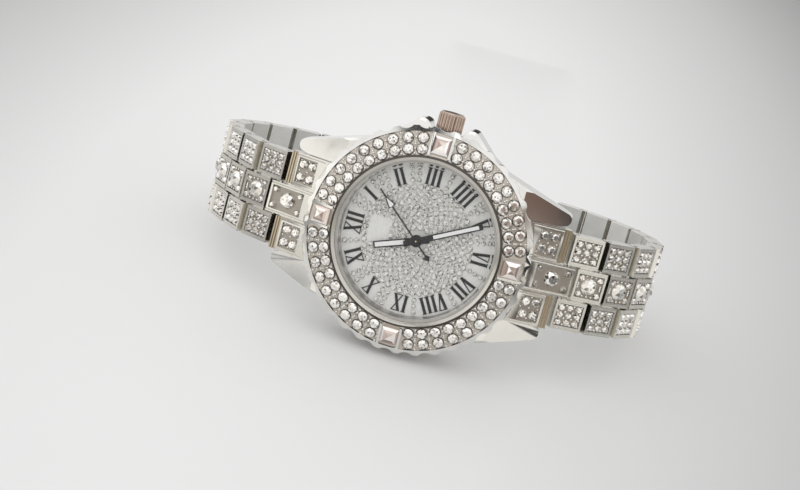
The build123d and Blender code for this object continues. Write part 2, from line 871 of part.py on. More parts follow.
def motor_stator():
    """The soft-iron core through the coil, its end blocks, and the plate with the rotor's window."""
    inner = coil_length / 2 + seat_gap
    reach = inner + stator_tab
    rotor_y = coil_ring_r - math.hypot(*rotor_at)
    window_r = rotor_magnet_r + rotor_window
    end_y = rotor_y + window_r + stator_wall
    outline = Polygon(
        (-reach, -coil_r),
        (reach, -coil_r),
        (reach, coil_r),
        (stator_width / 2, end_y),
        (-stator_width / 2, end_y),
        (-reach, coil_r),
        align=None,
    )
    room = Pos(0, -coil_r) * Rectangle(2 * inner, 4 * coil_r + 2 * seat_gap)
    face = outline - room - Pos(0, rotor_y) * Circle(window_r)
    body = Pos(0, 0, -coil_r) * extrude(face, stator_thickness)
    body += coil_bar(coil_core_r - seat_gap, reach)
    for x in ((-reach, -inner), (inner, reach)):
        body += block(x, (-coil_r, coil_r), (-coil_r, coil_r))
    return (coil_place() * body).solids()


def circuit_board():
    """The thin board on the bridge that drives the motor."""
    low = bridge_bottom - circuit_thickness
    out_r = plate_r - circuit_inset
    body = ring(out_r, out_r - circuit_width, low, bridge_bottom)
    start, end = circuit_from, circuit_from + circuit_span
    far = 2 * plate_r
    wedge = Polygon((0, 0), polar(far, start), polar(far, (start + end) / 2), polar(far, end), align=None)
    return (body & Pos(0, 0, low - overrun) * extrude(wedge, 2 * overrun)).solids()


def crown_tube():
    """The tube pressed into the case that guides the stem."""
    tube = rod(crown_tube_r, (crown_tube_start, crown_tube_end), 0, stem_z)
    return (tube - rod(stem_r + running_gap, (0, crown_end), 0, stem_z)).solids()


def crown():
    """The fluted crown, bored for the tube and the stem."""
    flutes = [place * Circle(flute_r) for place in PolarLocations(crown_r, crown_flutes)]
    blank = Rot(-90, 0, 0) * extrude(Circle(crown_r) - flutes, crown_end - crown_start)
    round_bar = Rot(-90, 0, 0) * extrude(Circle(crown_r), crown_end - crown_start)
    round_bar = chamfer(round_bar.edges().group_by(Axis.Y)[-1], crown_edge)
    body = Pos(0, crown_start, stem_z) * (blank & round_bar)
    body -= rod(crown_tube_r + running_gap, (0, crown_start + crown_bore_depth), 0, stem_z)
    body -= rod(stem_r, (0, crown_start + crown_bore_depth + stem_r), 0, stem_z)
    return body.solids()


def winding_stem():
    """The stem, with the groove that the setting lever holds."""
    body = rod(stem_r, (stem_in, crown_start + crown_bore_depth + stem_r), 0, stem_z)
    half = stem_groove_width / 2
    neck = (stem_groove_y - half, stem_groove_y + half)
    body -= rod(stem_r + overrun, neck, 0, stem_z) - rod(stem_groove_r, neck, 0, stem_z)
    return body.solids()


def setting_lever():
    """The forked lever that follows the stem's groove when the crown is pulled."""
    half = lever_width / 2
    thin = stem_groove_width / 2 - running_gap
    fork_low = stem_z - stem_r
    y = (stem_groove_y - thin, stem_groove_y + thin)
    fork = block((-half, half), y, (fork_low, plate_top - seat_gap))
    fork -= rod(stem_groove_r + running_gap, y, 0, stem_z)
    slot = stem_groove_r + running_gap
    fork -= block((-slot, slot), y, (fork_low, stem_z))
    top = (plate_top - lever_thickness - seat_gap, plate_top - seat_gap)
    tail = block((-half, half), (y[0] - lever_length / 2, y[1] + lever_length / 2), top)
    tail -= rod(stem_r + running_gap, (0, crown_end), 0, stem_z)
    return (fork + tail).solids()


# Widths and places that a link takes from the values above
pin_wall = (lobe_offset - lobe_gap) / 2
outer_x = (-pin_wall, link_pitch - pin_wall - lobe_gap)
centre_x = (lobe_offset - pin_wall, link_pitch + pin_wall)
centre_half = centre_lobe_width / 2
outer_in = centre_half + lobe_side_gap
outer_out = lug_slot_half - bracelet_step
pin_half = outer_out - pin_inset
pocket_floor = link_top - pocket_depth


def lobe(x, y, top=link_top):
    """One lobe of a link: a block with its inner corners cut away so that the link can fold."""
    return slab(
        [
            (x[0] + corner_run, -link_bottom),
            (x[0], corner_rise - link_bottom),
            (x[0], top),
            (x[1], top),
            (x[1], corner_rise - link_bottom),
            (x[1] - corner_run, -link_bottom),
        ],
        y,
    )


def pocket(x, y):
    """The sunk bed for the stones on top of a lobe, and the groove along each of its side rails."""
    above = link_top + overrun
    bed_y = (y[0] + side_rail, y[1] - side_rail)
    cuts = [block((x[0] + rail, x[1] - rail), bed_y, (pocket_floor, above))]
    along = (x[0] - overrun, x[1] + overrun)
    for middle in (y[0] + side_rail / 2, y[1] - side_rail / 2):
        groove_y = (middle - groove_width / 2, middle + groove_width / 2)
        cuts.append(block(along, groove_y, (link_top - groove_depth, above)))
    return cuts


def across(y):
    """A lobe's place on the other side of the bracelet."""
    return -y[1], -y[0]


outer_y = (outer_in, outer_out)
centre_y = (-centre_half, centre_half)


def link_casting():
    """Two outer lobes and a centre lobe set further from the case, joined by a web."""
    body = lobe(centre_x, centre_y) - pocket(centre_x, centre_y)
    for y in (outer_y, across(outer_y)):
        body += lobe(outer_x, y) - pocket(outer_x, y)
    web_x = (centre_x[0] + corner_run, outer_x[1] - corner_run)
    for y in ((centre_half - rail, outer_in + rail), (-outer_in - rail, rail - centre_half)):
        body += block(web_x, y, (-link_bottom, web_top))
    hole = pin_r + running_gap
    body -= rod(hole, (-outer_out - overrun, outer_out + overrun))
    body -= rod(hole, (-outer_out - overrun, outer_out + overrun), link_pitch)
    return body.solids()[0]


def panel(x, y, stones):
    """The stones of one lobe on the thin bed that they are set in."""
    gap_x, gap_y = rail + panel_gap, side_rail + panel_gap
    heights = (pocket_floor, pocket_floor + panel_plate)
    bed = block((x[0] + gap_x, x[1] - gap_x), (y[0] + gap_y, y[1] - gap_y), heights)
    for radius, height, cx, cy in stones:
        sides = large_facets if radius == centre_stone_r else facets
        bed += Pos(cx, cy, pocket_floor) * crystal(radius, height, sides)
    return bed.solids()[0]


def grid(x, y, radius):
    """The middles of as many stones of one radius as a lobe's bed has room for."""
    room_x, room_y = x[1] - x[0] - 2 * rail, y[1] - y[0] - 2 * side_rail
    columns, rows = int(room_x / (2 * radius)), int(room_y / (2 * radius))
    return [
        (x[0] + rail + room_x * (c + 1 / 2) / columns, y[0] + side_rail + room_y * (r + 1 / 2) / rows)
        for c in range(columns)
        for r in range(rows)
    ]


def outer_panel(y):
    spots = grid(outer_x, y, panel_stone_r)
    return panel(outer_x, y, [(panel_stone_r, panel_stone_height, cx, cy) for cx, cy in spots])


def centre_panel():
    """One large stone with a small one in each corner."""
    middle = (centre_x[0] + centre_x[1]) / 2
    stones = [(centre_stone_r, centre_stone_height, middle, 0)]
    reach_x = (centre_x[1] - centre_x[0]) / 2 - rail - panel_gap - corner_stone_r
    reach_y = centre_half - side_rail - panel_gap - corner_stone_r
    for sx in (-1, 1):
        for sy in (-1, 1):
            stones.append((corner_stone_r, panel_stone_height, middle + sx * reach_x, sy * reach_y))
    return panel(centre_x, centre_y, stones)


def link():
    """One moving link about its hinge: casting, pin and three panels of stones."""
    pin = rod(pin_r, (-pin_half, pin_half)).solids()[0]
    panels = [outer_panel(outer_y), outer_panel(across(outer_y)), centre_panel()]
    return [link_casting(), pin] + panels


def end_link_frame():
    """The 6 o'clock end link's frame, whose hinge at x = link_pitch meets the first moving link."""
    x = first_hinge_x - link_pitch * math.cos(math.radians(end_link_angle))
    z = first_hinge_z + link_pitch * math.sin(math.radians(end_link_angle))
    return Pos(x, 0, z) * Rot(0, end_link_angle, 0)


end_outer_x = (outer_x[0] - link_pitch / 2, outer_x[1])
end_centre_x = (end_outer_x[0], centre_x[1])
end_stone_x = (outer_x[0] - rail, outer_x[1] - end_step_length)
end_outer_y = (outer_in, lug_slot_half - end_link_clear)
end_bed_x = (centre_x[0] - lobe_gap - end_bed_extra, centre_x[1])


def end_link():
    """The fixed end link, fitted to the case and to the spring bar between the lugs."""
    body = lobe(end_centre_x, centre_y) - pocket(end_bed_x, centre_y)
    for y in (end_outer_y, across(end_outer_y)):
        body += lobe(end_outer_x, y) - pocket(end_stone_x, y)
        step_x = (end_stone_x[1], end_outer_x[1] + overrun)
        body -= block(step_x, (y[0], y[1]), (link_top - end_step_drop, link_top + overrun))
        for n in range(end_ridges):
            at = end_stone_x[1] + (n + 1 / 2) * end_step_length / end_ridges
            ridge_x = (at - end_ridge_width / 2, at + end_ridge_width / 2)
            low = link_top - end_step_drop - seat_gap
            body += block(ridge_x, y, (low, low + end_ridge_height))
    web_x = (end_outer_x[0] + corner_run, end_outer_x[1] - corner_run)
    for y in ((centre_half - rail, outer_in + rail), (-outer_in - rail, rail - centre_half)):
        body += block(web_x, y, (-link_bottom, web_top))
    body -= rod(pin_r + running_gap, (-outer_out - overrun, outer_out + overrun), link_pitch)
    body = end_link_frame() * body
    body -= disc(case_r + end_link_clear, lug_tip_bottom - overrun, bezel_lip_top)
    body -= disc(bezel_r + end_link_clear, case_top - end_link_clear, bezel_lip_top)
    reach = lug_slot_half + overrun
    body -= rod(spring_bar_r + running_gap, (-reach, reach), spring_bar_x, spring_bar_z)
    return max(body.solids(), key=lambda solid: solid.volume)


def end_stone_set():
    """Four stones on each outer lobe of an end link, and five on its centre lobe."""
    stones = []
    small = crystal(end_stone_r, panel_stone_height, large_facets)
    for y in (end_outer_y, across(end_outer_y)):
        stones += [Pos(cx, cy, pocket_floor) * small for cx, cy in grid(end_stone_x, y, end_stone_r)]
    middle = (end_bed_x[0] + end_bed_x[1]) / 2
    large = crystal(centre_stone_r, centre_stone_height, large_facets)
    stones.append(Pos(middle, 0, pocket_floor) * large)
    corner = crystal(corner_stone_r, panel_stone_height)
    reach_x = (end_bed_x[1] - end_bed_x[0]) / 2 - rail - panel_gap - corner_stone_r
    reach_y = centre_half - side_rail - panel_gap - corner_stone_r
    for sx in (-1, 1):
        for sy in (-1, 1):
            stones.append(Pos(middle + sx * reach_x, sy * reach_y, pocket_floor) * corner)
    return [end_link_frame() * stone for stone in stones]


def spring_bars():
    """The two sprung bars that hold the end links between the lugs."""
    bars = []
    half = lug_slot_half - end_link_clear
    for x in (-spring_bar_x, spring_bar_x):
        body = rod(spring_bar_r, (-half, half), x, spring_bar_z)
        reach = half + spring_bar_tip
        bars += (body + rod(spring_bar_tip_r, (-reach, reach), x, spring_bar_z)).solids()
    return bars


half_turn = Rot(0, 0, 180)


def chain(angles):
    """The frames of one side's moving links, and where the hinge after the last one is."""
    frames, x, z = [], first_hinge_x, first_hinge_z
    for angle in angles:
        frames.append(Pos(x, 0, z) * Rot(0, angle, 0))
        x += link_pitch * math.cos(math.radians(angle))
        z -= link_pitch * math.sin(math.radians(angle))
    return frames, (x, z)


frames_6, end_6 = chain(angles_6)
right_frames_12, end_12 = chain(angles_12)
frames_12 = [half_turn * frame for frame in right_frames_12]
clasp_length = math.hypot(end_6[0] + end_12[0], end_6[1] - end_12[1])
clasp_lean = math.degrees(math.atan2(end_6[1] - end_12[1], end_6[0] + end_12[0]))
clasp_frame = Pos(-end_12[0], 0, end_12[1]) * Rot(0, -clasp_lean, 0) * Rot(180, 0, 0)
leaf_z = -link_bottom
middle_z = leaf_z + leaf_thickness + leaf_gap
inner_hinge_x = clasp_length - leaf_inset
inner_hinge_z = leaf_z + knuckle_r
cover_hinge_x = leaf_inset
cover_hinge_z = middle_z + knuckle_r
cover_top = link_top + clasp_rise


def knuckle(x, z, y):
    """A rolled barrel for a clasp pin."""
    return rod(knuckle_r, y, x, z)


def clasp_hole(x, z):
    """The hole for a clasp pin through every barrel on its axis."""
    return rod(clasp_pin_r + running_gap, (-leaf_half_width - overrun, leaf_half_width + overrun), x, z)


ear_y = (outer_in, clasp_half_width - clasp_wall - ear_gap)
side_barrel_y = (knuckle_half + knuckle_gap, leaf_half_width)
leaf_y = (-leaf_half_width, leaf_half_width)


def clasp_inner_leaf():
    """The leaf on the 12 o'clock side's last link, and the pins that it holds."""
    body = block((pin_wall + lobe_gap, inner_hinge_x), leaf_y, (leaf_z, leaf_z + leaf_thickness))
    notch_x = (inner_hinge_x - knuckle_r - knuckle_gap, inner_hinge_x + overrun)
    notch_y = (-side_barrel_y[0], side_barrel_y[0])
    body -= block(notch_x, notch_y, (leaf_z - overrun, leaf_z + knuckle_r))
    for y in (ear_y, across(ear_y)):
        body += lobe((-pin_wall, cover_start - ear_gap), y, link_top - corner_rise)
    for y in (side_barrel_y, across(side_barrel_y)):
        body += knuckle(inner_hinge_x, inner_hinge_z, y)
    body -= rod(pin_r + running_gap, (-outer_out, outer_out))
    body -= clasp_hole(inner_hinge_x, inner_hinge_z)
    link_pin = rod(pin_r, (seat_gap - ear_y[1], ear_y[1] - seat_gap))
    leaf_pin = rod(clasp_pin_r, leaf_y, inner_hinge_x, inner_hinge_z)
    return body.solids() + link_pin.solids() + leaf_pin.solids()


def clasp_middle_leaf():
    """The leaf that folds between the other two, with a barrel at each end."""
    ends = ((cover_hinge_x, cover_hinge_z), (inner_hinge_x, inner_hinge_z))
    middle_y = (-knuckle_half, knuckle_half)
    free_y = (knuckle_half, leaf_half_width + overrun)
    body = block((cover_hinge_x, inner_hinge_x), leaf_y, (middle_z, middle_z + leaf_thickness))
    clear = knuckle_r + knuckle_gap
    for x, z in ends:
        for y in (free_y, across(free_y)):
            body -= block((x - clear, x + clear), y, (leaf_z, cover_top))
        body += knuckle(x, z, middle_y)
    for x, z in ends:
        body -= clasp_hole(x, z)
    return body.solids()


def clasp_cover():
    """The outer cover with its side walls and barrels, the leaf's pin and a stub pin in each ear."""
    x = (cover_start, clasp_length - cover_end_gap)
    wide = (-clasp_half_width, clasp_half_width)
    under = cover_top - clasp_plate
    body = block(x, wide, (under, cover_top))
    wall_y = (clasp_half_width - clasp_wall, clasp_half_width)
    stub_y = (outer_in, clasp_half_width)
    post_x = (cover_hinge_x - clasp_wall / 2, cover_hinge_x + clasp_wall / 2)
    for y in (wall_y, across(wall_y)):
        body += block(x, y, (leaf_z + corner_rise, cover_top))
    for y in (side_barrel_y, across(side_barrel_y)):
        body += knuckle(cover_hinge_x, cover_hinge_z, y)
        body += block(post_x, y, (cover_hinge_z, under + seat_gap))
    for y in (stub_y, across(stub_y)):
        body += lobe((x[1] - corner_run, clasp_length + pin_wall), y)
    body -= clasp_hole(cover_hinge_x, cover_hinge_z)
    body -= rod(pin_r + running_gap, wide, clasp_length)
    pins = rod(clasp_pin_r, leaf_y, cover_hinge_x, cover_hinge_z).solids()
    for y in (stub_y, across(stub_y)):
        pins += rod(pin_r, y, clasp_length).solids()
    return body.solids() + pins


def stance_angle():
    """How far the dial leans back when the case and the bracelet both touch the table."""
    corners = []
    for frame in (frames_6[-1], frames_12[-1]):
        for x in outer_x:
            corner = frame * Pos(x, -outer_out, link_top)
            corners.append(corner.position)
    low, high = 0.0, 45.0
    while high - low > seat_gap / case_r:
        middle = (low + high) / 2
        lean = math.radians(middle)
        bracelet = min(-outer_out * math.cos(lean) + p.Z * math.sin(lean) for p in corners)
        case = (case_bottom * math.sin(lean)) - case_r * math.cos(lean)
        low, high = (middle, high) if bracelet > case else (low, middle)
    return low


def dial_frame_nodes():
    """Every node's solids in the dial frame."""
    nodes = {
        "case_middle": case_middle(),
        "case_back": case_back(),
        "case_back_gasket": case_back_gasket(),
        "bezel": bezel(),
        "bezel_stones": bezel_stones(),
        "watch_glass": watch_glass(),
        "glass_gasket": glass_gasket(),
        "rehaut_ring": rehaut_ring(),
        "dial_plate": dial_plate(),
        "dial_stones": dial_stones(),
        "dial_numerals": dial_numerals(),
        "hour_hand": hour_hand(),
        "minute_hand": minute_hand(),
        "second_hand": second_hand(),
        "centre_wheel": centre_wheel(),
        "fourth_wheel": fourth_wheel(),
        "third_wheel": third_wheel(),
        "fifth_wheel": fifth_wheel(),
        "rotor": rotor(),
        "minute_wheel": minute_wheel(),
        "hour_wheel": hour_wheel(),
        "movement_ring": movement_ring(),
        "main_plate": main_plate(),
        "train_bridge": train_bridge(),
        "bridge_screws": bridge_screws(),
        "battery": battery(),
        "motor_coil": motor_coil(),
        "motor_stator": motor_stator(),
        "circuit_board": circuit_board(),
        "crown_tube": crown_tube(),
        "crown": crown(),
        "winding_stem": winding_stem(),
        "setting_lever": setting_lever(),
        "spring_bars": spring_bars(),
    }
    end = end_link()
    nodes["end_link_6"] = [end]
    nodes["end_link_12"] = [half_turn * end]
    stones = end_stone_set()
    nodes["end_link_stones"] = stones + [half_turn * stone for stone in stones]
    solids = link()
    for side, frames in (("6", frames_6), ("12", frames_12)):
        for n, frame in enumerate(frames):
            nodes[f"link_{side}_{n + 1}"] = [frame * solid for solid in solids]
    nodes["clasp_inner_leaf"] = [clasp_frame * solid for solid in clasp_inner_leaf()]
    nodes["clasp_middle_leaf"] = [clasp_frame * solid for solid in clasp_middle_leaf()]
    nodes["clasp_cover"] = [clasp_frame * solid for solid in clasp_cover()]
    return nodes


def stance(nodes):
    """The move that stands the watch on its side, with the origin under the middle of its box."""
    turned = Rot(90 - stance_angle(), 0, 0)
    box = Compound([turned * solid for solids in nodes.values() for solid in solids]).bounding_box()
    return Pos(-box.center().X, -box.center().Y, -box.min.Z) * turned


def main():
    nodes = dial_frame_nodes()
    place = stance(nodes)
    for name, solids in nodes.items():
        moved = [place * solid for solid in solids]
        export_step(Compound(moved), f"parts/{name}.step")
    return nodes, place


os.makedirs("parts", exist_ok=True)
nodes, place = main()
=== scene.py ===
"""The looks of a stone-set bracelet watch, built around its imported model. Lengths are in metres."""
import json
import math
import random

import bmesh
import bpy
from mathutils import Matrix, Vector


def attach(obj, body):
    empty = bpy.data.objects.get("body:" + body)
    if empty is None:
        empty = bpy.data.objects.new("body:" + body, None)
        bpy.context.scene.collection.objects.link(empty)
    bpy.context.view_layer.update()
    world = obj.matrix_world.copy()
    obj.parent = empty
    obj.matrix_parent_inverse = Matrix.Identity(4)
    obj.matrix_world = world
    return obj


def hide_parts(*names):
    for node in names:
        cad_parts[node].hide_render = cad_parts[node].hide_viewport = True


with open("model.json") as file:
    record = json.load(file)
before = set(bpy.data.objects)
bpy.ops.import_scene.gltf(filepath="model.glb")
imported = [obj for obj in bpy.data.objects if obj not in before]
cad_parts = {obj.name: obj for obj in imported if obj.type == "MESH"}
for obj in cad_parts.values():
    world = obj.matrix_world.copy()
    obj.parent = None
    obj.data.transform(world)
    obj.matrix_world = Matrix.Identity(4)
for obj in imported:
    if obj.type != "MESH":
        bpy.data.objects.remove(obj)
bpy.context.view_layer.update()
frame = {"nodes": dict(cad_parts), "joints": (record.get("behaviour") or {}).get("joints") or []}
nodes = frame["nodes"]
joints = {joint["name"]: joint for joint in frame["joints"]}
mm = 0.001
random.seed(7)

# The dial's own frame: x to 6 o'clock, y to 3 o'clock, z out of the dial
across = Vector(joints["crown_turn"]["axis"]).normalized()
outward = -Vector(joints["second_turn"]["axis"]).normalized()
along = across.cross(outward)
dial = Matrix((along, across, outward)).transposed().to_4x4()
dial.translation = Vector(joints["second_turn"]["pos_m"])

# The bezel, as in the solids
bezel_floor_r = (14.75 * mm, 18.6 * mm)
bezel_floor_z = (2.6 * mm, 1.5 * mm)
bezel_tilt = math.atan2(bezel_floor_z[0] - bezel_floor_z[1], bezel_floor_r[1] - bezel_floor_r[0])
bezel_lip_r = 14.35 * mm
bezel_lip_z = 2.3 * mm
bezel_step_z = 2.62 * mm
bezel_floor_near = 0.15 * mm

# The links, as in the solids: x away from the case, y across the bracelet, z outwards
sides = ("6", "12")
link_angles = {
    "6": (24.0, 39.0, 60.0, 85.0, 102.0, 120.0, 138.0, 154.0, 168.0),
    "12": (28.0, 49.0, 55.0, 76.0, 99.0, 118.0, 137.0, 154.0, 168.0),
}
outer_x = (-0.9 * mm, 4.7 * mm)
outer_y = (3.0 * mm, 8.2 * mm)
centre_x = (1.3 * mm, 6.9 * mm)
centre_half = 2.7 * mm
rail = 0.42 * mm
side_rail = 0.65 * mm
pocket_floor = 1.0 * mm
link_back_z = -1.2 * mm
link_beds_z = 0.8 * mm

# The end links, as in the solids
end_link_angle = 19.0
end_stone_x = (-7.32 * mm, -2.8 * mm)
end_outer_y = (3.0 * mm, 8.54 * mm)
end_step_x = (-2.85 * mm, -1.25 * mm)
end_step_half = 2.9 * mm
end_step_low = 0.8 * mm
end_bed_near = 0.06 * mm

# The finer stone work that the scene gives the bezel and the links
stone_repeat = 45.0
square_corners = 12
dial_stone_share = 0.98
end_stone_share = 0.94
bead_r = 0.24 * mm
bead_inset = 0.26 * mm
bezel_bead_shift = 1.235 * mm
bezel_bead_step = 0.8 * mm
bezel_seat_rim = 0.12 * mm
bezel_seat_height = 0.03 * mm
seat_height = 0.05 * mm
panel_gap = 0.04 * mm
bed_thickness = 0.15 * mm
panel_stone_r = 0.64 * mm
panel_stone_height = 0.8 * mm
panel_bead_lift = 0.25 * mm
centre_stone_r = 1.5 * mm
centre_stone_height = 1.15 * mm
centre_bead_lift = 0.2 * mm
centre_bead_spots = ((2.08 * mm, 0.35 * mm), (2.08 * mm, 0.0), (0.85 * mm, 1.74 * mm), (0.0, 1.78 * mm))
corner_stone_r = 0.62 * mm

# The hands: the clock angle of each, and the bounds of its pale inlay
hand_clocks = {"hour_hand": 338.8, "minute_hand": 151.4, "second_hand": 40.6}
inlay_x = {"hour_hand": (2.0 * mm, 7.15 * mm), "minute_hand": (3.0 * mm, 10.95 * mm)}
inlay_half = {"hour_hand": 0.39 * mm, "minute_hand": 0.32 * mm}
arrow_x = (7.2 * mm, 9.7 * mm)
arrow_slope = 0.27
arrow_rim = 0.2 * mm

# Edges
soft_width = 0.06 * mm
back_soft_width = 0.08 * mm
cover_soft_width = 0.1 * mm
case_soft_width = 0.12 * mm
flat_angle = 0.8
sharp_angle = 32


def turn(degrees, axis):
    return Matrix.Rotation(math.radians(degrees), 4, axis)


def stone_turn():
    """A stone's own turn about its axis, up to the angle at which its facets repeat."""
    return turn(random.uniform(0, stone_repeat), "Z")


def hinge_frame(side, n, angle):
    """A frame at a link's hinge: x along the bracelet away from the case, and z outwards."""
    place = Matrix.Translation(joints[f"link_{side}_{n}_hinge"]["pos_m"])
    half_turn = turn(180 if side == "12" else 0, "Z")
    return place @ dial.to_3x3().to_4x4() @ half_turn @ turn(angle, "Y")


def link_frame(side, n):
    """A moving link's own frame: its hinge at the origin, x to the next hinge and z outwards."""
    return hinge_frame(side, n, link_angles[side][n - 1])


def end_frame(side):
    """An end link's frame, at the hinge of the first moving link."""
    return hinge_frame(side, 1, end_link_angle)


# Forms: the points and faces of small pieces


def ring_points(radius, z, count, start=0.0):
    step = 2 * math.pi / count
    ring = [start + n * step for n in range(count)]
    return [(radius * math.cos(angle), radius * math.sin(angle), z) for angle in ring]


def brilliant(radius, height, girdle=0.3, table=0.56):
    """A round stone's crown: table, stars, kites and upper girdle facets over a straight girdle."""
    low = height * girdle
    rise = height - low
    mid_r = 0.8
    mid_z = height - (mid_r * math.cos(math.pi / 8) - table) / (1 - table) * rise
    points = [(0, 0, height)]
    points += ring_points(radius * table / 2, height, 8)
    points += ring_points(radius * table, height, 8)
    points += ring_points(radius * mid_r, mid_z, 8, math.pi / 8)
    points += ring_points(radius, low, 16)
    points += ring_points(radius, 0, 16)
    inner, top, mid, girdle_at, base = 1, 9, 17, 25, 41
    faces = []
    for n in range(8):
        after, before = (n + 1) % 8, (n - 1) % 8
        faces.append((0, inner + n, inner + after))
        faces.append((inner + n, top + n, top + after, inner + after))
        faces.append((top + n, mid + n, top + after))
        faces.append((top + n, mid + before, girdle_at + 2 * n, mid + n))
        faces.append((mid + n, girdle_at + 2 * n, girdle_at + 2 * n + 1))
        faces.append((mid + n, girdle_at + 2 * n + 1, girdle_at + 2 * after))
    for n in range(16):
        after = (n + 1) % 16
        faces.append((girdle_at + n, base + n, base + after, girdle_at + after))
    faces.append(tuple(reversed(range(base, base + 16))))
    return points, faces


def square_cut(half, height):
    """A square stone with two stepped crowns and a table cut by its diagonals."""
    corner = math.sqrt(2)
    points = [(0, 0, height)]
    for share, z in ((0.45, 1.0), (0.72, 0.82), (1.0, 0.4), (1.0, 0.0)):
        points += ring_points(half * share * corner, z * height, 4, math.pi / 4)
    faces = []
    for n in range(4):
        after = (n + 1) % 4
        faces.append((0, 1 + n, 1 + after))
        for level in (1, 5, 9):
            faces.append((level + n, level + 4 + n, level + 4 + after, level + after))
    faces.append((16, 15, 14, 13))
    return points, faces


def bead(radius):
    """A low round bead of metal."""
    count = 8
    points = []
    for z, r in ((0.0, 1.0), (0.45, 0.9), (0.8, 0.58)):
        points += ring_points(radius * r, radius * z, count)
    points.append((0, 0, radius * 0.95))
    faces = [tuple(reversed(range(count)))]
    for level in (0, count):
        for n in range(count):
            after = (n + 1) % count
            faces.append((level + n, level + after, level + count + after, level + count + n))
    for n in range(count):
        faces.append((2 * count + n, 2 * count + (n + 1) % count, 3 * count))
    return points, faces


def disc(radius, height):
    """A thin round plate."""
    count = 24
    points = ring_points(radius, 0, count) + ring_points(radius, height, count)
    faces = [tuple(reversed(range(count))), tuple(range(count, 2 * count))]
    for n in range(count):
        after = (n + 1) % count
        faces.append((n, after, count + after, count + n))
    return points, faces


def slab(x, y, z):
    """A plain rectangular plate."""
    points = [(a, b, c) for c in z for b in y for a in x]
    faces = [(0, 2, 3, 1), (4, 5, 7, 6), (0, 1, 5, 4), (2, 6, 7, 3), (0, 4, 6, 2), (1, 3, 7, 5)]
    return points, faces


class Gathered:
    """Copies of forms placed in one mesh."""

    def __init__(self):
        self.points = []
        self.faces = []

    def add(self, form, place):
        start = len(self.points)
        self.points += [place @ Vector(point) for point in form[0]]
        self.faces += [[start + n for n in face] for face in form[1]]

    def mesh(self, name, smooth=False, glint_toned=False):
        """The mesh of all copies. A toned one has a random value for each face: painted glints and painted
        dark reflections for cut facets.
        """
        mesh = bpy.data.meshes.new(name)
        mesh.from_pydata(self.points, [], self.faces)
        if glint_toned:
            facet_glints = mesh.attributes.new("facet_glint", "FLOAT", "FACE")
            for value in facet_glints.data:
                value.value = random.random()
        if smooth:
            mesh.polygons.foreach_set("use_smooth", [True] * len(mesh.polygons))
        mesh.update()
        return mesh


# Materials


def shader(name, **values):
    """A material with one Principled shader and its plain values."""
    material = bpy.data.materials.new(name)
    material.use_nodes = True
    principled = material.node_tree.nodes["Principled BSDF"]
    for key, value in values.items():
        principled.inputs[key.replace("_", " ")].default_value = value
    return material, principled


def noise(material, scale, detail):
    tree = material.node_tree
    place = tree.nodes.new("ShaderNodeTexCoord")
    texture = tree.nodes.new("ShaderNodeTexNoise")
    texture.inputs["Scale"].default_value = scale
    texture.inputs["Detail"].default_value = detail
    tree.links.new(place.outputs["Object"], texture.inputs["Vector"])
    return texture.outputs["Fac"]


def between(material, factor, low, high):
    """A value that runs from low to high as a factor runs from 0 to 1."""
    tree = material.node_tree
    node = tree.nodes.new("ShaderNodeMapRange")
    node.inputs["To Min"].default_value = low
    node.inputs["To Max"].default_value = high
    tree.links.new(factor, node.inputs["Value"])
    return node.outputs["Result"]


def colours(owner, factor, stops):
    """A colour ramp through the given stops, in a material or a world."""
    tree = owner.node_tree
    ramp = tree.nodes.new("ShaderNodeValToRGB")
    while len(ramp.color_ramp.elements) < len(stops):
        ramp.color_ramp.elements.new(0.5)
    for element, (at, colour) in zip(ramp.color_ramp.elements, stops):
        element.position = at
        element.color = (*colour, 1)
    tree.links.new(factor, ramp.inputs["Fac"])
    return ramp.outputs["Color"]


def bump(material, principled, height, distance, strength):
    tree = material.node_tree
    node = tree.nodes.new("ShaderNodeBump")
    node.inputs["Strength"].default_value = strength
    node.inputs["Distance"].default_value = distance
    tree.links.new(height, node.inputs["Height"])
    tree.links.new(node.outputs["Normal"], principled.inputs["Normal"])


def metal(name, colour, smooth, rough):
    """Metal whose gloss wanders between two roughnesses, with a fine bump."""
    material, principled = shader(name, Metallic=1.0)
    links = material.node_tree.links
    wander = noise(material, 260.0, 4.0)
    darker = tuple(value * 0.9 for value in colour)
    links.new(colours(material, wander, ((0.35, darker), (0.65, colour))), principled.inputs["Base Color"])
    links.new(between(material, wander, smooth, rough), principled.inputs["Roughness"])
    bump(material, principled, noise(material, 4000.0, 2.0), 0.004 * mm, 0.25)
    return material


def crystal(name, stops, metallic=0.75):
    """Foil-backed stone: each facet has its own painted brightness, painted glints and painted dark
    reflections, under a hard gloss.
    """
    gloss = {"Roughness": 0.04, "Coat_Weight": 1.0, "Coat_Roughness": 0.02}
    material, principled = shader(name, Metallic=metallic, **gloss)
    tree = material.node_tree
    facet_glint = tree.nodes.new("ShaderNodeAttribute")
    facet_glint.attribute_name = "facet_glint"
    tree.links.new(colours(material, facet_glint.outputs["Fac"], stops), principled.inputs["Base Color"])
    return material


def plastic(name, colour, roughness, coat=0.0):
    """Plastic, rubber or paint with fine paler specks."""
    material, principled = shader(name, Roughness=roughness, Coat_Weight=coat)
    speck = noise(material, 3000.0, 2.0)
    paler = tuple(min(1.0, value * 1.12 + 0.01) for value in colour)
    tint = colours(material, speck, ((0.35, colour), (0.7, paler)))
    material.node_tree.links.new(tint, principled.inputs["Base Color"])
    bump(material, principled, speck, 0.003 * mm, 0.3)
    return material


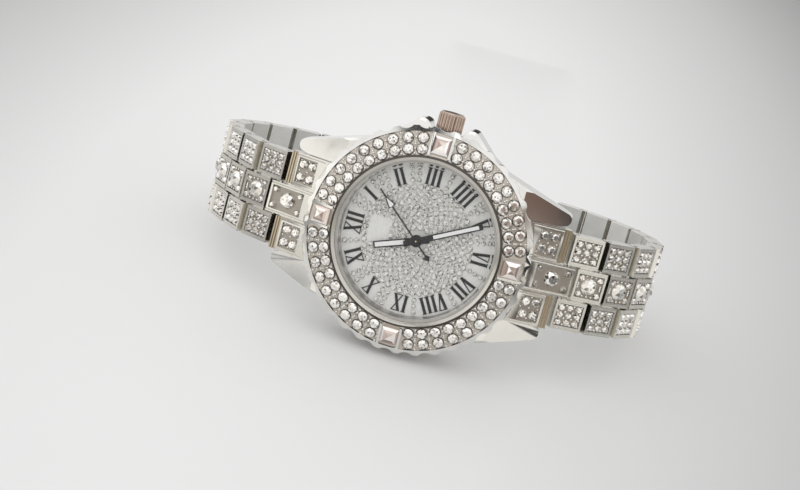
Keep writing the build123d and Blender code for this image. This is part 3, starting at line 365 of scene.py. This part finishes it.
def clear_glass(name):
    """Clear glass that lets lamps and sky light through to what it covers."""
    material, principled = shader(name, Roughness=0.0, IOR=1.25, Transmission_Weight=1.0)
    tree = material.node_tree
    ray = tree.nodes.new("ShaderNodeLightPath")
    open_way = tree.nodes.new("ShaderNodeBsdfTransparent")
    surface = principled.outputs["BSDF"]
    for kind in ("Is Diffuse Ray", "Is Shadow Ray"):
        mix = tree.nodes.new("ShaderNodeMixShader")
        tree.links.new(ray.outputs[kind], mix.inputs["Fac"])
        tree.links.new(surface, mix.inputs[1])
        tree.links.new(open_way.outputs["BSDF"], mix.inputs[2])
        surface = mix.outputs["Shader"]
    tree.links.new(surface, tree.nodes["Material Output"].inputs["Surface"])
    return material


silver = metal("polished_steel", (0.80, 0.79, 0.76), 0.06, 0.14)
rail_silver = metal("rail_steel", (0.76, 0.74, 0.69), 0.10, 0.22)
warm_steel = metal("warm_steel", (0.56, 0.49, 0.38), 0.14, 0.26)
# Darker brownish bed metal under the stones: painted shade between the stones
shaded_bed_steel = metal("stone_bed_painted_shade", (0.44, 0.40, 0.35), 0.3, 0.45)
shaded_bezel_bed_steel = metal("bezel_bed_painted_shade", (0.58, 0.53, 0.47), 0.25, 0.4)
lip_steel = metal("lip_steel", (0.60, 0.58, 0.53), 0.18, 0.3)
shade_steel = metal("shade_steel", (0.10, 0.09, 0.08), 0.3, 0.4)
satin_steel_painted_light = metal("satin_steel_painted_light", (0.86, 0.86, 0.84), 0.42, 0.5)
bead_steel = metal("setting_beads", (0.82, 0.81, 0.78), 0.12, 0.22)
back_silver = metal("back_steel", (0.70, 0.70, 0.69), 0.2, 0.32)
brass = metal("movement_brass", (0.83, 0.68, 0.38), 0.15, 0.3)
plate_steel = metal("movement_steel", (0.68, 0.68, 0.68), 0.2, 0.35)
copper = metal("copper_winding", (0.78, 0.36, 0.2), 0.25, 0.4)
stone = crystal("clear_stone", (
    (0.0, (0.07, 0.06, 0.055)), (0.09, (0.36, 0.32, 0.29)), (0.2, (0.70, 0.68, 0.61)),
    (0.4, (0.86, 0.79, 0.76)), (0.6, (0.86, 0.88, 0.83)), (0.8, (0.93, 0.89, 0.86)),
    (1.0, (0.98, 0.98, 0.97)),
))
dial_stone = crystal("dial_stone", (
    (0.0, (0.04, 0.04, 0.03)), (0.18, (0.32, 0.31, 0.26)), (0.34, (0.94, 0.93, 0.88)),
    (1.0, (0.99, 0.99, 0.98)),
), 0.3)
rose_stone = crystal("rose_stone", (
    (0.0, (0.22, 0.16, 0.14)), (0.3, (0.62, 0.50, 0.44)), (0.6, (0.88, 0.81, 0.77)),
    (1.0, (0.98, 0.95, 0.93)),
))
dial_paint = plastic("silver_dial", (0.82, 0.82, 0.80), 0.35, 0.3)
ring_paint = metal("grey_ring", (0.62, 0.60, 0.57), 0.25, 0.38)
# Dark seats under the dial stones: painted shade between the stones
shaded_seat_steel = metal("dial_stone_seat", (0.36, 0.35, 0.32), 0.2, 0.3)
# The crown's brownish tint is a painted reflection of brown surroundings, on top of the brown card that the
# crown mirrors
crown_steel_brown_reflection = metal("crown_steel_brown_reflection", (0.48, 0.38, 0.32), 0.1, 0.2)
gasket = plastic("grey_gasket", (0.42, 0.40, 0.37), 0.45)
black = plastic("black_gloss", (0.008, 0.008, 0.009), 0.35, 0.1)
lume = plastic("pale_inlay", (0.93, 0.93, 0.92), 0.5)
rubber = plastic("black_rubber", (0.03, 0.03, 0.03), 0.6)
board = plastic("green_board", (0.03, 0.2, 0.09), 0.3, 0.5)
cream = plastic("movement_plastic", (0.82, 0.82, 0.78), 0.5)
glass = clear_glass("watch_crystal")


# Pieces and the solids that they are made from


def placed(name, data):
    """A new object in the scene."""
    obj = bpy.data.objects.new(name, data)
    bpy.context.scene.collection.objects.link(obj)
    return obj


def piece(name, mesh, material, body, stands_for, place=None):
    """A piece on a body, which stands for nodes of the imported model."""
    obj = placed(name, mesh)
    if not mesh.materials:
        mesh.materials.append(material)
    obj.matrix_world = place or Matrix()
    bpy.context.view_layer.update()
    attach(obj, body)
    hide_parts(*stands_for)
    return obj


def welded(node, place=None):
    """A working copy of a node's mesh in a frame, with its points joined."""
    work = bmesh.new()
    work.from_mesh(nodes[node].data)
    if place:
        work.transform(place.inverted())
    bmesh.ops.remove_doubles(work, verts=work.verts, dist=0.0005 * mm)
    return work


def islands(work):
    """The separate solids of a working mesh, each as a list of its points, in order of their places."""
    seen, found = set(), []
    for start in work.verts:
        if start in seen:
            continue
        seen.add(start)
        group = [start]
        for point in group:
            for line in point.link_edges:
                other = line.other_vert(point)
                if other not in seen:
                    seen.add(other)
                    group.append(other)
        middle = sum((point.co for point in group), Vector()) / len(group)
        found.append((tuple(round(v, 5) for v in middle), group))
    return [group for middle, group in sorted(found, key=lambda entry: entry[0])]


def finished(work, name):
    """A clean mesh of a working copy: flat faces joined up, smooth across gentle turns."""
    bmesh.ops.dissolve_limit(work, angle_limit=math.radians(flat_angle), verts=work.verts, edges=work.edges)
    mesh = bpy.data.meshes.new(name)
    work.to_mesh(mesh)
    work.free()
    mesh.polygons.foreach_set("use_smooth", [True] * len(mesh.polygons))
    mesh.set_sharp_from_angle(angle=math.radians(sharp_angle))
    return mesh


def soften(obj, width):
    """Rounds the sharp edges of a piece by a small bevel."""
    bevel = obj.modifiers.new("soft_edges", "BEVEL")
    bevel.width = width
    bevel.segments = 2
    bevel.limit_method = "ANGLE"
    bevel.angle_limit = math.radians(sharp_angle)
    bevel.harden_normals = True
    return obj


def dressed(node, material, body, width):
    """A copy of a node with softened edges, which stands for it."""
    mesh = finished(welded(node), f"{node}_form")
    return soften(piece(f"{node}_dressed", mesh, material, body, (node,)), width)


def seats(node, axis_at):
    """Each stone of a node: its frame, radius, height and number of points."""
    work = welded(node, dial)
    found = []
    for group in islands(work):
        points = [point.co.copy() for point in group]
        rough = sum(points, Vector()) / len(points)
        axis = axis_at(rough)
        heights = [(point - rough).dot(axis) for point in points]
        base = rough + axis * min(heights)
        radius = max(((point - base) - axis * (point - base).dot(axis)).length for point in points)
        out = Vector((rough.x, rough.y, 0))
        if out.length < mm or abs(out.normalized().dot(axis)) > 0.999:
            out = Vector((1, 0, 0))
        side = axis.cross(out).normalized()
        place = Matrix((side.cross(axis), side, axis)).transposed().to_4x4()
        place.translation = base
        found.append((dial @ place, radius, max(heights) - min(heights), len(points)))
    work.free()
    return found


def bezel_axis(at):
    flat = Vector((at.x, at.y, 0)).normalized()
    return (flat * math.sin(bezel_tilt) + Vector((0, 0, math.cos(bezel_tilt)))).normalized()


def end_axis(at):
    lean = math.radians(end_link_angle) * (1 if at.x > 0 else -1)
    return Vector((math.sin(lean), 0, math.cos(lean)))


def up_axis(at):
    return Vector((0, 0, 1))


# Paint on parts of a piece


def paint(obj, material, inside, place=dial):
    """Gives another material to the faces whose middles lie in a region of a frame."""
    obj.data.materials.append(material)
    index = len(obj.data.materials) - 1
    to_frame = place.inverted() @ obj.matrix_world
    for polygon in obj.data.polygons:
        if inside(to_frame @ polygon.center):
            polygon.material_index = index


def on_stone_floor(at):
    """Is a face part of the bezel's sloping floor under its stones?"""
    share = (math.hypot(at.x, at.y) - bezel_floor_r[0]) / (bezel_floor_r[1] - bezel_floor_r[0])
    height = bezel_floor_z[0] + share * (bezel_floor_z[1] - bezel_floor_z[0])
    return 0.02 < share < 0.98 and abs(at.z - height) < bezel_floor_near


def on_lip(at):
    """Is a face part of the bezel's lip round the glass?"""
    return at.z > bezel_lip_z and math.hypot(at.x, at.y) < bezel_lip_r


def on_lip_edge(at):
    """Is a face part of the step from the bezel's lip down to its stones?"""
    return at.z > bezel_step_z and bezel_lip_r <= math.hypot(at.x, at.y) < bezel_floor_r[0]


def on_link_back(at):
    """Is a face part of the underside of a link?"""
    return at.z < link_back_z


def on_end_bed(at):
    """Is a face part of the sunk floors under an end link's stones?"""
    sunk = abs(at.z - pocket_floor) < end_bed_near
    return sunk and (abs(at.y) < centre_half or at.x < end_step_x[0])


def on_end_step(at):
    """Is a face part of the low ridged step on an end link's outer lobes?"""
    return end_step_x[0] < at.x < end_step_x[1] and abs(at.y) > end_step_half and at.z > end_step_low


def on_inlay(node, at):
    """Is a face part of the pale inlay of a hand, in a frame with x along the hand?"""
    if node == "second_hand":
        return arrow_x[0] < at.x and abs(at.y) < (arrow_x[1] - at.x) * arrow_slope - arrow_rim
    return inlay_x[node][0] < at.x < inlay_x[node][1] and abs(at.y) < inlay_half[node]


# Case, end links, crown and clasp: the solids' own forms with softened edges
case_body = "watch_case"
dressed("case_middle", silver, case_body, case_soft_width)
bezel = dressed("bezel", silver, case_body, soft_width)
# The floor under the bezel stones gets darker metal: painted shade between the stones
paint(bezel, shaded_bezel_bed_steel, on_stone_floor)
paint(bezel, lip_steel, on_lip)
paint(bezel, shade_steel, on_lip_edge)
dressed("case_back", back_silver, case_body, back_soft_width)
for side in sides:
    end_link = dressed(f"end_link_{side}", rail_silver, case_body, soft_width)
    paint(end_link, warm_steel, on_end_step, end_frame(side))
    paint(end_link, shaded_bed_steel, on_end_bed, end_frame(side))
dressed("crown", crown_steel_brown_reflection, "crown_and_stem", soft_width)
dressed("clasp_cover", silver, "clasp_outer", cover_soft_width)
dressed("clasp_middle_leaf", silver, "clasp_middle", soft_width)
dressed("clasp_inner_leaf", silver, "clasp_inner", soft_width)

# Stones of the bezel, the dial and the end links, with the metal beads and dark seats round them, the seats
# painted shade between the stones
setting_bead = bead(bead_r)


def cells(x, y, columns, rows):
    """The middles of the stones in a bed's rows and columns."""
    width, depth = x[1] - x[0] - 2 * rail, y[1] - y[0] - 2 * side_rail
    return [
        (x[0] + rail + width * (c + 0.5) / columns, y[0] + side_rail + depth * (r + 0.5) / rows)
        for c in range(columns)
        for r in range(rows)
    ]


def crossings(x, y, columns, rows):
    """The places between a bed's stones and along its walls, for the beads that hold them."""
    low_x, low_y = x[0] + rail + bead_inset, y[0] + side_rail + bead_inset
    width, depth = x[1] - x[0] - 2 * (rail + bead_inset), y[1] - y[0] - 2 * (side_rail + bead_inset)
    return [
        (low_x + width * c / columns, low_y + depth * r / rows)
        for c in range(columns + 1)
        for r in range(rows + 1)
    ]


def opposite(y):
    """The same span on the other side of the bracelet's middle."""
    return -y[1], -y[0]


def mirrored(spots):
    """Each spot and its images across both axes, once."""
    return sorted({(sx * x, sy * y) for x, y in spots for sx in (-1, 1) for sy in (-1, 1)})


def fitting(name, gathered, material, node, smooth=False, glint_toned=False):
    """A piece of the case's stone work, which stands for a node of stones."""
    piece(name, gathered.mesh(name, smooth, glint_toned), material, case_body, (node,))


bezel_set, bezel_squares, bezel_beads, bezel_seats = Gathered(), Gathered(), Gathered(), Gathered()
for place, radius, height, count in seats("bezel_stones", bezel_axis):
    if count <= square_corners:
        bezel_squares.add(square_cut(radius / math.sqrt(2), height), place)
    else:
        bezel_set.add(brilliant(radius, height), place @ stone_turn())
        bezel_seats.add(disc(radius + bezel_seat_rim, bezel_seat_height), place)
        for shift in (-bezel_bead_step, 0, bezel_bead_step):
            bezel_beads.add(setting_bead, place @ Matrix.Translation((shift, bezel_bead_shift, 0)))
fitting("bezel_stone_set", bezel_set, stone, "bezel_stones", glint_toned=True)
fitting("bezel_square_set", bezel_squares, rose_stone, "bezel_stones", glint_toned=True)
fitting("bezel_bead_set", bezel_beads, bead_steel, "bezel_stones", smooth=True)
fitting("bezel_stone_seats", bezel_seats, shade_steel, "bezel_stones")

dial_set, dial_seats = Gathered(), Gathered()
for place, radius, height, count in seats("dial_stones", up_axis):
    dial_set.add(brilliant(radius * dial_stone_share, height), place @ stone_turn())
    dial_seats.add(disc(radius, seat_height), place)
fitting("dial_stone_set", dial_set, dial_stone, "dial_stones", glint_toned=True)
fitting("dial_stone_seats", dial_seats, shaded_seat_steel, "dial_stones")

end_set, end_seats, end_beads = Gathered(), Gathered(), Gathered()
for place, radius, height, count in seats("end_link_stones", end_axis):
    end_set.add(brilliant(radius * end_stone_share, height), place @ stone_turn())
    end_seats.add(disc(radius, seat_height), place)
for side in sides:
    for y in (end_outer_y, opposite(end_outer_y)):
        for cx, cy in crossings(end_stone_x, y, 2, 2):
            end_beads.add(setting_bead, end_frame(side) @ Matrix.Translation((cx, cy, pocket_floor)))
fitting("end_link_stone_set", end_set, stone, "end_link_stones", glint_toned=True)
fitting("end_link_stone_seats", end_seats, shaded_bed_steel, "end_link_stones")
fitting("end_link_bead_set", end_beads, bead_steel, "end_link_stones", smooth=True)


# Moving links: the casting from the solids, and a setting and stones of finer form


def casting_mesh():
    """A link's casting and pin in its own frame, without its beds of stones."""
    work = welded("link_6_1", link_frame("6", 1))
    for group in islands(work):
        if min(point.co.z for point in group) > link_beds_z:
            bmesh.ops.delete(work, geom=group, context="VERTS")
    return finished(work, "link_casting_form")


def link_meshes():
    """The beds, beads and stones that every moving link has, in its own frame."""
    beds, beads, stones = Gathered(), Gathered(), Gathered()
    gap_x, gap_y = rail + panel_gap, side_rail + panel_gap
    bed_z = (pocket_floor, pocket_floor + bed_thickness)
    centre_y = (-centre_half, centre_half)
    for x, y in ((outer_x, outer_y), (outer_x, opposite(outer_y)), (centre_x, centre_y)):
        beds.add(slab((x[0] + gap_x, x[1] - gap_x), (y[0] + gap_y, y[1] - gap_y), bed_z), Matrix())
    for y in (outer_y, opposite(outer_y)):
        for cx, cy in cells(outer_x, y, 3, 3):
            place = Matrix.Translation((cx, cy, pocket_floor)) @ stone_turn()
            stones.add(brilliant(panel_stone_r, panel_stone_height), place)
        for cx, cy in crossings(outer_x, y, 3, 3):
            beads.add(setting_bead, Matrix.Translation((cx, cy, pocket_floor + panel_bead_lift)))
    middle_x = (centre_x[0] + centre_x[1]) / 2
    place = Matrix.Translation((middle_x, 0, pocket_floor))
    stones.add(brilliant(centre_stone_r, centre_stone_height), place)
    reach_x = (centre_x[1] - centre_x[0]) / 2 - gap_x - corner_stone_r
    reach_y = centre_half - gap_y - corner_stone_r
    for x, y in mirrored(((reach_x, reach_y),)):
        place = Matrix.Translation((middle_x + x, y, pocket_floor))
        stones.add(brilliant(corner_stone_r, panel_stone_height), place)
    for x, y in mirrored(centre_bead_spots):
        beads.add(setting_bead, Matrix.Translation((middle_x + x, y, pocket_floor + centre_bead_lift)))
    return (
        beds.mesh("link_beds"),
        beads.mesh("link_beads", smooth=True),
        stones.mesh("link_stones", glint_toned=True),
    )


casting = casting_mesh()
link_beds, link_beads, link_stones = link_meshes()
for side in sides:
    for n in range(1, len(link_angles[side]) + 1):
        place, body, node = link_frame(side, n), f"bracelet_{side}_{n}", f"link_{side}_{n}"
        cast_piece = piece(f"{node}_casting", casting, rail_silver, body, (node,), place)
        soften(cast_piece, soft_width)
        piece(f"{node}_beds", link_beds, shaded_bed_steel, body, (node,), place)
        piece(f"{node}_beads", link_beads, bead_steel, body, (node,), place)
        piece(f"{node}_stones", link_stones, stone, body, (node,), place)
# The links share one casting, so paint on the last one shows on all
# The undersides of the links get satin steel: a rougher finish, and a paler colour that is painted light on
# the shaded inside of the loop
paint(cast_piece, satin_steel_painted_light, on_link_back, place)

# The hands: a dark frame round a pale inlay
hand_bodies = {"hour_hand": "hour_train", "minute_hand": "minute_train", "second_hand": "second_train"}
for node, body in hand_bodies.items():
    mesh = nodes[node].data.copy()
    mesh.materials.clear()
    own_place = nodes[node].matrix_world.copy()
    hand = piece(f"{node}_dressed", mesh, black, body, (node,), own_place)
    paint(hand, lume, lambda at: on_inlay(node, at), dial @ turn(180 - hand_clocks[node], "Z"))

# Nodes that keep their own mesh
kept = {
    "case_back_gasket": rubber, "glass_gasket": gasket, "watch_glass": glass, "rehaut_ring": ring_paint,
    "dial_plate": dial_paint, "dial_numerals": black, "movement_ring": cream, "main_plate": brass,
    "train_bridge": plate_steel, "bridge_screws": plate_steel, "battery": back_silver, "motor_coil": copper,
    "motor_stator": plate_steel, "circuit_board": board, "centre_wheel": brass, "fourth_wheel": brass,
    "third_wheel": brass, "fifth_wheel": brass, "minute_wheel": brass, "hour_wheel": brass,
    "rotor": plate_steel, "crown_tube": back_silver, "winding_stem": plate_steel,
    "setting_lever": plate_steel, "spring_bars": back_silver,
}
for node, material in kept.items():
    nodes[node].data.materials.clear()
    nodes[node].data.materials.append(material)


# Stage: a pale floor with painted light falloff, soft lamps and dark cards for the metal to mirror
watch_at = Vector((0, 0, 0.02))
floor_size = 6.0


def sheet(name, width, height, material):
    """A flat rectangle of the stage."""
    mesh = bpy.data.meshes.new(name)
    w, h = width / 2, height / 2
    mesh.from_pydata([(-w, -h, 0), (w, -h, 0), (w, h, 0), (-w, h, 0)], [], [(0, 1, 2, 3)])
    mesh.materials.append(material)
    return placed(name, mesh)


def face_watch(obj, place, axis):
    """Puts an object at a place, with one of its axes towards the watch."""
    obj.location = place
    obj.rotation_euler = (watch_at - Vector(place)).to_track_quat(axis, "Y").to_euler()


def floor_painted_falloff():
    """Pale grey that darkens away from the watch: painted light falling off round the watch, and painted
    shade further out for the metal to mirror.
    """
    material, principled = shader("pale_floor_painted_falloff", Roughness=0.6)
    tree = material.node_tree
    place = tree.nodes.new("ShaderNodeTexCoord")
    mapping = tree.nodes.new("ShaderNodeMapping")
    mapping.inputs["Scale"].default_value = (6.96, 2.48, 1.0)
    mapping.inputs["Location"].default_value = (0.145, -0.065, 0.0)
    sphere = tree.nodes.new("ShaderNodeTexGradient")
    sphere.gradient_type = "SPHERICAL"
    tree.links.new(place.outputs["Object"], mapping.inputs["Vector"])
    tree.links.new(mapping.outputs["Vector"], sphere.inputs["Vector"])
    greys = ((0.0, 0.22), (0.3, 0.46), (0.65, 0.69), (1.0, 0.78))
    shade = colours(material, sphere.outputs["Fac"], [(at, (grey, grey, grey)) for at, grey in greys])
    tree.links.new(shade, principled.inputs["Base Color"])
    return material


def lamp(name, place, size, power):
    """A soft rectangular lamp towards the watch."""
    data = bpy.data.lights.new(name, "AREA")
    data.shape = "RECTANGLE"
    data.size, data.size_y = size
    data.energy = power
    face_watch(placed(name, data), place, "-Z")


def card(name, place, width, height, colour):
    """A card beside the set that only mirrors see."""
    material = shader(f"{name}_paint", Roughness=0.9, Base_Color=(*colour, 1))[0]
    obj = sheet(name, width, height, material)
    face_watch(obj, place, "Z")
    obj.visible_camera = False
    obj.visible_shadow = False
    obj.visible_diffuse = False


sheet("floor", floor_size, floor_size, floor_painted_falloff())
lamp("key", (-0.12, -0.1, 0.75), (0.8, 0.8), 0.6)
lamp("left", (-0.45, -0.42, 0.1), (0.35, 0.3), 0.06)
card("brown_card_right", (0.28, -0.43, 0.17), 0.13, 0.22, (0.36, 0.23, 0.18))
card("dark_card_right", (0.336, -0.393, 0.08), 0.06, 0.1, (0.02, 0.02, 0.02))
card("dark_card_top", (-0.1, -0.315, 0.415), 0.34, 0.06, (0.04, 0.04, 0.04))
card("dark_card_left", (-0.3765, -0.36, 0.073), 0.008, 0.016, (0.02, 0.02, 0.02))
card("dark_card_back", (-0.004, 0.15, 0.011), 0.032, 0.02, (0.03, 0.025, 0.02))

# The sky: near white, a little warmer towards the horizon
world = bpy.data.worlds.new("studio")
bpy.context.scene.world = world
world.use_nodes = True
sky = world.node_tree
background = sky.nodes["Background"]
background.inputs["Strength"].default_value = 1.1
sky_place = sky.nodes.new("ShaderNodeTexCoord")
sky_height = sky.nodes.new("ShaderNodeSeparateXYZ")
sky.links.new(sky_place.outputs["Generated"], sky_height.inputs["Vector"])
sky_stops = ((0.05, (0.92, 0.90, 0.85)), (0.35, (0.98, 0.98, 0.98)))
sky.links.new(colours(world, sky_height.outputs["Z"], sky_stops), background.inputs["Color"])

# Camera at the photograph's viewing angle: width and focal length in pixels, place in the dial's frame
photo_width = 800
photo_focus = 1525
camera_at = Vector((24.2657, 43.5789, 253.5608)) * mm
camera_look = Vector((-0.103698, -0.174519, -0.979178)).normalized()
camera_top = Vector((-0.281988, 0.949248, -0.139321))
camera_data = bpy.data.cameras.new("camera")
camera_data.sensor_width = 36.0
camera_data.lens = camera_data.sensor_width * photo_focus / photo_width
camera_data.clip_start = 0.01
camera_right = camera_look.cross(camera_top).normalized()
camera_up = camera_right.cross(camera_look)
pose = Matrix((camera_right, camera_up, -camera_look)).transposed().to_4x4()
pose.translation = camera_at
camera = placed("camera", camera_data)
camera.matrix_world = dial @ pose
bpy.context.scene.camera = camera
bpy.context.scene.view_settings.view_transform = "Standard"

bpy.context.view_layer.update()
